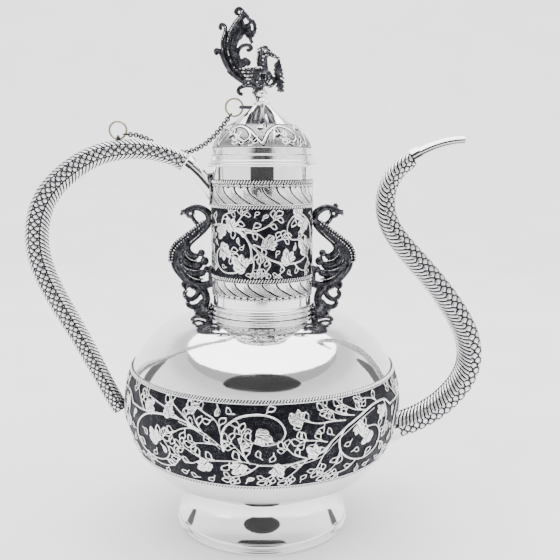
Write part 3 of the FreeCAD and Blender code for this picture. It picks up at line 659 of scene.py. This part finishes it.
def handle_pattern(along, turn, radius):
    """Two rows of scales down the front and back, feathers between them that meet on the ridges."""
    face = np.abs(np.angle(np.exp(1j * turn)))
    away = np.minimum(face, math.pi - face)
    from_back = np.angle(np.exp(1j * (turn - math.pi)))
    across = np.where(face < math.pi / 2, np.angle(np.exp(1j * turn)), from_back)
    scaled = scales(along, across * radius + 2.4, 2.9, 4.8)
    stroked = feathers(along, (away - 0.5) * radius, 3.4, -0.85)
    border = np.clip(np.abs(away - 0.50) * radius / 0.6, 0, 1)
    return np.where(away < 0.50, scaled, stroked) * border


def spout_pattern(along, turn, radius):
    """Round scales down the outer half and long curved feathers over the inner half."""
    outer = np.sin(turn)
    signed = np.angle(np.exp(1j * (turn - math.pi / 2)))
    scaled = scales(along, signed * radius, 3.7, 6.2)
    inward = math.pi - np.abs(signed)
    stroked = feathers(along, inward * radius, 3.3, 1.1 - 0.3 * inward)
    seam = np.clip(inward * radius / 1.1, 0, 1)
    return np.where(outer > -0.12, scaled, stroked * seam)


def middle_of(node):
    """The middle of a node's box."""
    low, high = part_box(node)
    return (low + high) / 2


handle_line = tube_line("handle_tube", middle_of("handle_collar"), (-1, 0, 0.35), 1.2)
tube_piece("chased_handle_tube", "handle_tube", handle_line, handle_pattern, 0.7, 1.0, 1)
spout_line = tube_line("spout_tube", middle_of("spout_root_ring"), (1, 0, 0.15), 1.0)
tube_piece("chased_spout_tube", "spout_tube", spout_line, spout_pattern, 0.7, 0.8, 1)


# ---------------------------------------------------------------- castings
def ring_faces(rings, sides):
    """Quads between rings of points, one ring after another."""
    return [(r * sides + k, r * sides + (k + 1) % sides, (r + 1) * sides + (k + 1) % sides, (r + 1) * sides + k)
            for r in range(rings - 1) for k in range(sides)]


def capped_faces(rings, sides):
    """The same quads with a face that closes each end."""
    last = (rings - 1) * sides
    return ring_faces(rings, sides) + [tuple(range(sides))[::-1], tuple(last + k for k in range(sides))]


def bar(points, start, finish, flat=1.0, depth=0.0):
    """A rounded bar through (x, z) or (x, z, y) points in millimetres, its thickness in Y scaled by flat."""
    path = curve_through(points, 0.6)
    radii = np.linspace(start, finish, len(path))
    ends = np.minimum(np.arange(len(path)), np.arange(len(path))[::-1]) * 0.6
    radii = np.maximum(0.25, radii * np.sqrt(np.clip(1 - (1 - np.clip(ends / radii, 0, 1)) ** 2, 0.02, 1)))
    tangent = np.gradient(path[:, :2], axis=0)
    tangent /= np.linalg.norm(tangent, axis=1)[:, None] + 1e-9
    sides = 12
    turn = np.linspace(0, 2 * math.pi, sides, endpoint=False)
    x = path[:, None, 0] - tangent[:, None, 1] * radii[:, None] * np.cos(turn)
    z = path[:, None, 1] + tangent[:, None, 0] * radii[:, None] * np.cos(turn)
    y = depth + flat * radii[:, None] * np.sin(turn) + 0 * x
    if path.shape[1] == 3:
        y = y + path[:, None, 2]
    return np.stack([x, y, z], -1).reshape(-1, 3), capped_faces(len(path), sides)


def bead(x, z, radius, depth=0.0):
    """A small ball."""
    rings, sides = 6, 10
    lat = np.linspace(-0.97, 0.97, rings) * math.pi / 2
    turn = np.linspace(0, 2 * math.pi, sides, endpoint=False)
    points = np.stack([x + radius * np.cos(lat)[:, None] * np.cos(turn),
                       depth + radius * np.cos(lat)[:, None] * np.sin(turn),
                       z + radius * np.sin(lat)[:, None] + 0 * turn[None, :]], -1).reshape(-1, 3)
    return points, capped_faces(rings, sides)


def crests(mesh, sweeps):
    """How far each vertex stands out from its smoothed surroundings, in millimetres."""
    count = len(mesh.vertices)
    points = np.empty(count * 3)
    mesh.vertices.foreach_get("co", points)
    points = points.reshape(-1, 3)
    normals = np.empty(count * 3)
    mesh.vertices.foreach_get("normal", normals)
    edges = np.empty(len(mesh.edges) * 2, np.int32)
    mesh.edges.foreach_get("vertices", edges)
    first, second = edges.reshape(-1, 2).T
    degree = np.bincount(first, minlength=count) + np.bincount(second, minlength=count)
    smooth = points.copy()
    for _ in range(sweeps):
        total = np.stack([np.bincount(first, smooth[second, k], count)
                          + np.bincount(second, smooth[first, k], count) for k in range(3)], 1)
        smooth = total / degree[:, None]
    return ((points - smooth) * normals.reshape(-1, 3)).sum(1) / MM


def casting(name, parts, voxel, body, *nodes, shine=None):
    """Bars and balls melted into one skin that stands for CAD nodes."""
    points, faces, start = [], [], 0
    for part_points, part_faces in parts:
        points.append(part_points)
        faces += [tuple(corner + start for corner in face) for face in part_faces]
        start += len(part_points)
    mesh = bpy.data.meshes.new(name + "_rough")
    mesh.from_pydata((np.vstack(points) * MM).tolist(), [], faces)
    rough = bpy.data.objects.new(name + "_rough", mesh)
    bpy.context.scene.collection.objects.link(rough)
    melt = rough.modifiers.new("melt", "REMESH")
    melt.mode = "VOXEL"
    melt.voxel_size = voxel * MM
    melt.use_smooth_shade = True
    ease = rough.modifiers.new("ease", "SMOOTH")
    ease.factor, ease.iterations = 0.5, 1
    bpy.context.view_layer.update()
    skin = bpy.data.meshes.new_from_object(rough.evaluated_get(bpy.context.evaluated_depsgraph_get()))
    skin.name = name
    bpy.data.objects.remove(rough)
    piece = bpy.data.objects.new(name, skin)
    bpy.context.scene.collection.objects.link(piece)
    skin.materials.clear()
    skin.materials.append(OXIDISED)
    skin.polygons.foreach_set("use_smooth", np.ones(len(skin.polygons), bool))
    raised = 0.22 + 1.9 * (crests(skin, 8) - 0.10)
    if shine:
        raised = raised + shine(np.array([v.co for v in skin.vertices]) / MM)
    set_raised(piece, np.clip(raised, 0, 1.5))
    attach(piece, body)
    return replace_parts(piece, *nodes)


def bracket_parts():
    """The left bracket: a crested head, a beaded back, leaf scrolls and a curled foot."""
    def arm(points, start, finish, flat=1.0):
        return bar(points, 1.22 * start, 1.22 * finish, flat)

    parts = [
        # head: arch, crest, beak and eye
        arm([(-39.5, 239), (-41.5, 246.5), (-46, 250.6), (-51.4, 251.9), (-57.4, 250.2), (-61.5, 247)],
            3.0, 1.5, 1.1),
        arm([(-59, 248.6), (-62, 247.6), (-63.6, 245.2)], 1.6, 0.8),
        arm([(-60.5, 249.6), (-63.5, 249.8)], 1.2, 0.5),
        arm([(-49.5, 238.8), (-52.5, 241.5), (-54.6, 244.8), (-57.4, 245.2), (-58, 248), (-55.5, 249.4),
             (-53, 247.6), (-54.6, 246.2)], 1.5, 1.0, 1.3),
        # flesh between the beaded edge and the ribs
        arm([(-44.5, 239), (-52, 233), (-60, 227), (-66.5, 220.6), (-69.4, 213.6), (-67.6, 206)],
            3.4, 2.4, 0.55),
        # back ribs
        arm([(-40, 243), (-45, 237), (-51, 231), (-58, 225.2), (-64, 219.6), (-67, 214), (-67.6, 208),
             (-65, 201.5), (-60.4, 195.2), (-55, 190)], 2.6, 2.2, 0.9),
        arm([(-40.5, 239.5), (-45, 233.8), (-51, 228.4), (-55.6, 224), (-58.4, 219)], 1.5, 1.3, 1.4),
        arm([(-70.6, 209.5), (-68.6, 203.6), (-63.6, 197), (-57.4, 190.8), (-52, 187.4)], 1.2, 1.3, 1.6),
        arm([(-44, 236.5), (-50, 230), (-57, 224), (-62.4, 218.4), (-64.6, 212), (-63.8, 205.5)],
            0.9, 0.8, 3.2),
        # leaf scrolls that curl back towards the neck
        arm([(-57.4, 226), (-58.6, 220.6), (-57, 216.4), (-53, 214), (-49.2, 214.4)], 2.6, 1.9, 1.1),
        bead(-47.4, 216.4, 3.0),
        arm([(-62, 220), (-62, 213), (-57.6, 208.2), (-51.6, 206.4), (-46.6, 207.8)], 2.4, 2.5, 1.2),
        bead(-45.0, 210.0, 3.6),
        arm([(-65, 214.6), (-63.4, 206.6), (-57.8, 201.6), (-50.8, 199.8), (-44.2, 201.4)], 2.0, 2.3, 1.3),
        bead(-43.4, 203.4, 2.8),
        arm([(-64, 204.4), (-58.6, 197), (-52.4, 192.4), (-46.2, 190.6), (-40, 192.4)], 2.0, 2.8, 1.3),
        arm([(-58.8, 222), (-59.8, 216.5), (-56, 211.8), (-51, 210.4)], 0.8, 0.7, 4.0),
        arm([(-63.4, 212), (-60.4, 205.6), (-54.8, 203.2), (-48.4, 202.8)], 0.8, 0.7, 4.2),
        arm([(-63.6, 208.6), (-58.8, 200.6), (-52.4, 196.4), (-45.6, 195.4)], 0.8, 0.7, 4.2),
        arm([(-39.6, 207), (-39.8, 198), (-39.6, 189)], 2.2, 2.2, 1.5),
        # lower stem and its curls
        arm([(-51, 191.6), (-46.4, 187), (-44.2, 181), (-45, 175.6), (-47.6, 170.4)], 2.8, 2.8, 1.2),
        arm([(-57.6, 194), (-58.6, 190.4), (-61, 189.2), (-62.6, 191.6), (-61, 193.4)], 1.7, 1.1, 1.4),
        arm([(-50, 189), (-51.4, 182.8), (-56, 179.6), (-60.2, 181.2), (-61.2, 184.8), (-58.6, 186.4)],
            2.0, 1.4, 1.4),
        arm([(-46, 179), (-50, 174.6), (-55.4, 173.4), (-58.8, 175.6), (-58.2, 178.4)], 2.2, 1.5, 1.4),
        arm([(-42, 173.4), (-48, 171.6), (-54.5, 170.8)], 2.4, 2.2, 2.2),
        arm([(-52, 176), (-54, 171)], 1.4, 1.2),
        # ribbed scrolls that spread over the shoulder at the front and the back
        *[arm([(-50, 176 - 1.6 * rib, side * (1 + rib)), (-46, 173.4 - rib, side * (4.5 + rib)),
               (-41.6 + rib, 171.2 - 0.6 * rib, side * (8.5 + 0.8 * rib))], 1.7, 1.2) for rib in range(4)
          for side in (-1, 1)],
        *[bead(-40.6, 170.6, 2.2, side * 10.0) for side in (-1, 1)],
    ]
    outer_edge = [(-46.5, 241), (-52, 236.6), (-60, 230.6), (-68, 224.4), (-72, 217.6), (-72.6, 210.4)]
    inner_edge = [(-45.4, 238.8), (-51, 234.2), (-58.8, 228.2), (-65.8, 222.4), (-69.6, 216.4), (-70.2, 210.2)]
    for row_radius, points in ((1.15, outer_edge), (1.0, inner_edge)):
        for x, z in curve_through(points, 2.15):
            for depth in (-2.2, 0.0, 2.2):
                parts.append(bead(x, z, row_radius, depth))
        parts.append(bar(points, 1.0, 1.0, 2.8))
    return parts


def mirrored(parts):
    """The same parts on the other side of the pot."""
    return [(points * np.array([-1.0, 1.0, 1.0]), [tuple(reversed(face)) for face in faces])
            for points, faces in parts]


casting("cast_bracket_left", bracket_parts(), 0.38, "pot", "bracket_left")
flared_crest = [bar([(53, 249), (56, 252)], 1.6, 1.4), bar([(55.5, 251.5), (57.4, 256)], 1.1, 1.3),
                bar([(55.5, 251.5), (59.6, 254)], 1.1, 1.3)]
casting("cast_bracket_right", mirrored(bracket_parts()) + flared_crest, 0.38, "pot", "bracket_right")


def bird_parts():
    """The bird on its pedestal: fluted breast, folded wings, curled neck and a leafy spray in its beak."""
    parts = [
        # pedestal
        bar([(-1.5, 331), (-1.8, 336), (-1.4, 343)], 3.4, 3.0), bead(-3.6, 337.6, 2.6), bead(1.0, 337.4, 2.4),
        bead(-1.4, 334.2, 3.0), bar([(-5, 342), (-6.5, 338.5), (-5.4, 335.6)], 1.4, 1.0, 1.6),
        # breast and back
        bar([(2.4, 355.4), (2.4, 349.5), (-1.6, 345), (-5, 342.6)], 5.6, 3.6, 0.95),
        bead(0.6, 349.6, 6.4), bead(-4.4, 348.4, 4.2),
        bar([(-14, 350.6), (-8, 348.6), (-2, 346.6)], 2.4, 4.0, 0.9),
        bar([(-16, 351.5), (-9, 351), (-1, 352)], 2.6, 4.2, 1.05),
        # neck and head
        bar([(1.5, 352), (0.6, 358), (0.6, 363), (1.2, 366.5)], 4.4, 3.5), bead(1.6, 366.8, 4.3),
        bar([(4.4, 367.6), (7.6, 366), (10, 364.8), (12.8, 364.0)], 2.2, 1.1), bead(12.4, 363.2, 1.4),
        bar([(-2.8, 369.5), (-3.4, 363), (-3.0, 356)], 0.9, 0.8, 2.0),
        bar([(-4, 369.6), (-1, 371.4), (3.4, 371.4), (6.4, 368.6), (7.6, 365.6)], 0.8, 0.7, 1.4),
        bar([(1.0, 370.6), (2.6, 373.4)], 0.9, 0.7), bar([(2.6, 370.8), (4.4, 373.0)], 0.8, 0.5),
        bar([(1.4, 370.8), (0.8, 373.2)], 0.7, 0.5),
        # foot scroll behind the pedestal
        bar([(-3, 342), (-8.5, 343.6), (-13, 343.4), (-17, 341.8), (-18, 339), (-15.6, 337.2), (-14.2, 338.6)],
            1.8, 1.4, 1.4),
    ]
    for side in (-1, 1):
        for number in range(5):
            swing = number * 0.42 - 0.6
            parts.append(bar([(1.6, 353.5), (1.5 + 3.6 * math.sin(swing), 349.8),
                              (-1.2 + 5.2 * math.sin(swing), 345.2)], 1.2, 0.9, 1.0, side * 3.6))
        for lift in range(4):
            parts.append(bar([(-17.0 + 1.6 * lift, 355.6 - 2.5 * lift), (-9, 355.4 - 2.4 * lift),
                              (0.5, 356.0 - 1.6 * lift)], 0.8, 1.3, 1.0, side * (3.9 - 0.25 * lift)))
        for lift in range(4):
            parts.append(bead(0.6 + 0.5 * (lift % 2), 355.6 + 3.0 * lift, 1.3, side * 3.0))
        parts.append(bead(2.2, 367.8, 1.1, side * 3.6))
    # leafy spray from the beak
    parts.append(bar([(12.8, 362.6), (12.2, 356), (12.2, 349), (13.4, 343), (15.0, 338.6)], 1.3, 1.8, 1.2))
    for number in range(7):
        z = 359.5 - 3.1 * number
        reach = 1.8 + 1.5 * math.sin(math.pi * (number + 0.6) / 7)
        middle = 12.2 + 0.35 * number
        parts.append(bar([(middle, z + 1.2), (middle - reach, z - 0.6), (middle - reach - 0.6, z - 2.2)],
                         1.3, 0.8, 1.3))
        parts.append(bar([(middle, z + 1.0), (middle + 0.8 * reach, z - 0.8), (middle + reach + 0.5, z - 2.0)],
                         1.2, 0.6, 1.3))
    parts.append(bar([(3.5, 342.5), (7, 343.6), (10.6, 347)], 1.6, 1.4, 1.2))
    parts.append(bar([(6.0, 352), (8.6, 348), (9.4, 344.6)], 1.2, 1.2, 1.2))
    return parts


def tail_parts():
    """The upswept tail: a ribbed fan of plumes whose tips curl over, with pierced scrolls on its front edge."""
    plumes = (
        ([(-12.5, 345.5), (-20.3, 350.6), (-27, 358), (-30.6, 366), (-32.6, 369.6), (-35, 369.4),
          (-34.6, 366.8), (-32.8, 367.2)], 1.3, 0.9),
        ([(-14, 346.2), (-23.4, 355), (-28.4, 365), (-29.6, 375.2), (-27.6, 382.4), (-27.4, 386.4), (-30, 388),
          (-31.4, 385.6), (-29.6, 384.2)], 1.5, 1.0),
        ([(-12.5, 347.7), (-21.8, 358), (-25.7, 369.5), (-24.9, 379.5), (-21, 387.5), (-16.4, 393.2),
          (-14.6, 397.2), (-17.2, 399.2), (-19.6, 396.8), (-17.6, 394.6)], 1.7, 1.1),
        ([(-12, 349), (-19.5, 359), (-22.8, 369.5), (-21.6, 378.5), (-16, 384), (-9.3, 388.6), (-7, 390.2)],
         1.3, 0.8),
        ([(-12, 350.4), (-17.8, 360), (-20.4, 369), (-17.6, 377.6), (-12.6, 382), (-7.2, 383.4)], 1.2, 0.9),
        ([(-12, 352), (-16.6, 361), (-18, 368), (-14.8, 372.4), (-10.1, 373), (-7.8, 371), (-10, 369.2),
          (-11.6, 370.4)], 1.4, 1.0),
        ([(-26.5, 354.3), (-19.5, 349.2), (-11, 344.4)], 0.7, 1.3),
    )
    parts = [bar(points, 1.2 * start, 1.35 * finish, 1.0) for points, start, finish in plumes]
    # thin web between the plumes
    parts += [bar([(-13.5, 347), (-22, 357), (-27, 368), (-26.6, 381)], 3.8, 2.6, 0.30),
              bar([(-13.6, 350), (-20, 361), (-22.4, 372), (-19.6, 383), (-14, 391)], 4.2, 2.6, 0.30),
              bar([(-19, 377), (-14, 384.2), (-8, 386.6)], 3.2, 3.0, 0.36),
              bar([(-16.4, 391.4), (-13, 395)], 2.6, 2.2, 0.36),
              bar([(-12.4, 379.4), (-7.6, 381.6)], 3.0, 2.4, 0.36)]
    # frilled front edge and its scrolls
    frill = [(-14.8, 397.4), (-11.8, 394.4), (-9.8, 391.6), (-6.6, 389.6), (-5.4, 385.4), (-6.4, 381),
             (-8.8, 378.4), (-8.2, 375.4)]
    parts.append(bar(frill, 1.4, 1.2, 1.2))
    parts += [bead(x + 0.6, z, 1.35) for x, z in curve_through(frill, 2.6)]
    parts += [bar([(-12.6, 357), (-15.6, 359.8), (-12.8, 363), (-9.4, 360.4), (-11.8, 358.2)], 1.5, 1.3, 1.5),
              bead(-12.4, 360, 2.0), bar([(-10, 353), (-12, 350), (-12.6, 345)], 2.6, 2.2, 1.2)]
    for side in (-1, 1):
        for points, start, finish in plumes[1:4]:
            parts.append(bar(points[:-3], 0.55, 0.45, 1.0, side * 1.5 * start))
    return parts


def bird_shine(points):
    """The bird's head, breast, wings and pedestal are brighter than its back end and the spray."""
    x, z = points[:, 0], points[:, 2]
    spray = (x > 8.2) & (z < 362)
    tail_side = x < -14.5
    return np.where(spray | tail_side, -0.08, 0.17)


casting("cast_finial_bird", bird_parts(), 0.34, "lid", "finial_bird", shine=bird_shine)
casting("cast_finial_tail", tail_parts(), 0.34, "lid", "finial_tail",
        shine=lambda points: np.full(len(points), -0.12))

# ---------------------------------------------------------------- CAD nodes that stay
SLOT_OF_NODE = {part["node"]: part["material_slot"] for part in frame["record"]["subparts"]}
DARK_NODES = ("chain_", "lid_staple", "handle_staple", "finial_nut")
SWELL_OF_NODE = {"chain_": 0.22, "handle_ring": 0.24, "lid_ring": 0.24, "lid_staple": 0.4, "handle_staple": 0.3}
for node_name, node_object in frame["nodes"].items():
    node_object.data.materials.clear()
    node_object.data.materials.append(MATERIAL_OF_SLOT[SLOT_OF_NODE[node_name]])
    if SLOT_OF_NODE[node_name] in ("chased_silver", "oxidised_silver"):
        rubbed = 0.12 if node_name.startswith(DARK_NODES) else 0.35
        set_raised(node_object, np.full(len(node_object.data.vertices), rubbed))
    for start, thickness in SWELL_OF_NODE.items():
        if node_name.startswith(start):
            swell = node_object.modifiers.new("swell", "DISPLACE")
            swell.mid_level = 0.0
            swell.strength = thickness * MM


# ---------------------------------------------------------------- studio
def plain_material(name, low, high, roughness, scale):
    """A matt stage material with a faint mottle."""
    material, tree, shader, where = start_material(name)
    shader.inputs["Metallic"].default_value = 0.0
    shader.inputs["Roughness"].default_value = roughness
    mottle = ramp(tree, noise(tree, where, scale, 3.0), (0.3, low), (0.7, high))
    tree.links.new(mottle, shader.inputs["Base Color"])
    return material


def bowl():
    """A floor that sweeps up into a wall all round."""
    flat, sweep, top = 1.6, 1.2, 3.0
    rise = np.linspace(0, math.pi / 2, 16)
    section = [(0.0, 0.0), (0.8, 0.0), (flat, 0.0)]
    section += [(flat + sweep * math.sin(a), sweep * (1 - math.cos(a))) for a in rise[1:]]
    section.append((flat + sweep, top))
    sides = 96
    turns = [2 * math.pi * k / sides for k in range(sides)]
    points = [(radius * math.cos(turn), radius * math.sin(turn), height)
              for radius, height in section for turn in turns]
    faces = ring_faces(len(section), sides)
    mesh = bpy.data.meshes.new("floor")
    mesh.from_pydata(points, [], faces)
    mesh.polygons.foreach_set("use_smooth", np.ones(len(faces), bool))
    floor = bpy.data.objects.new("floor", mesh)
    bpy.context.scene.collection.objects.link(floor)
    mesh.materials.append(plain_material("floor_paper", (0.80, 0.80, 0.81), (0.86, 0.86, 0.865), 0.9, 6.0))


def card(name, where, size, shade):
    """An oval card, facing the pot, that only reflections see."""
    sides = 48
    turns = [2 * math.pi * k / sides for k in range(sides)]
    rim = [(0.5 * size[0] * math.cos(turn), 0.5 * size[1] * math.sin(turn), 0) for turn in turns]
    mesh = bpy.data.meshes.new(name)
    mesh.from_pydata(rim, [], [tuple(range(sides))])
    flag = bpy.data.objects.new(name, mesh)
    bpy.context.scene.collection.objects.link(flag)
    flag.location = where
    flag.rotation_euler = (Vector((0, -0.08, 0.2)) - Vector(where)).to_track_quat("Z", "Y").to_euler()
    flag.visible_camera = False
    flag.visible_shadow = False
    flag.visible_diffuse = False
    mesh.materials.append(plain_material(name + "_felt", (shade,) * 3, (shade * 1.5,) * 3, 1.0, 30.0))


def softbox(name, where, size, power):
    """A large area lamp aimed at the pot, which the silver doesn't mirror."""
    lamp = bpy.data.lights.new(name, "AREA")
    lamp.shape = "RECTANGLE"
    lamp.size, lamp.size_y = size
    lamp.energy = power
    holder = bpy.data.objects.new(name, lamp)
    bpy.context.scene.collection.objects.link(holder)
    holder.location = where
    holder.visible_glossy = False
    aim = Vector((0, 0, 0.18)) - Vector(where)
    holder.rotation_euler = aim.to_track_quat("-Z", "Y").to_euler()


def overhead():
    """A round overhead lamp that fills the shoulder's reflection."""
    lamp = bpy.data.lights.new("overhead", "AREA")
    lamp.shape = "DISK"
    lamp.size = 3.4
    lamp.energy = 150
    holder = bpy.data.objects.new("overhead", lamp)
    bpy.context.scene.collection.objects.link(holder)
    holder.location = (0.0, 0.55, 2.1)


bowl()
card("dark_high_card", (0.0, -0.66, 0.86), (1.05, 0.40), 0.012)
card("dark_front_card", (0.0, -0.95, 0.26), (0.92, 0.60), 0.012)
card("left_flag", (-1.25, 0.50, 0.35), (0.24, 1.1), 0.05)
card("right_flag", (1.25, 0.50, 0.35), (0.24, 1.1), 0.05)
softbox("left_softbox", (-1.7, -1.1, 0.9), (0.9, 1.4), 24)
softbox("right_softbox", (1.7, -0.9, 0.9), (0.8, 1.3), 18)
overhead()

world = bpy.data.worlds.new("studio")
bpy.context.scene.world = world
world.use_nodes = True
backdrop = world.node_tree.nodes["Background"]
backdrop.inputs["Color"].default_value = (0.93, 0.94, 0.96, 1.0)
backdrop.inputs["Strength"].default_value = 0.7

camera = bpy.data.objects.new("camera", bpy.data.cameras.new("camera"))
bpy.context.scene.collection.objects.link(camera)
DOWNWARD_TILT = 9.04
camera.location = (0.0, -0.55, 0.2824)
camera.rotation_euler = (math.radians(90 - DOWNWARD_TILT), 0, 0)
camera.data.lens = 45.4
camera.data.shift_x = 18 / 560
bpy.context.scene.camera = camera
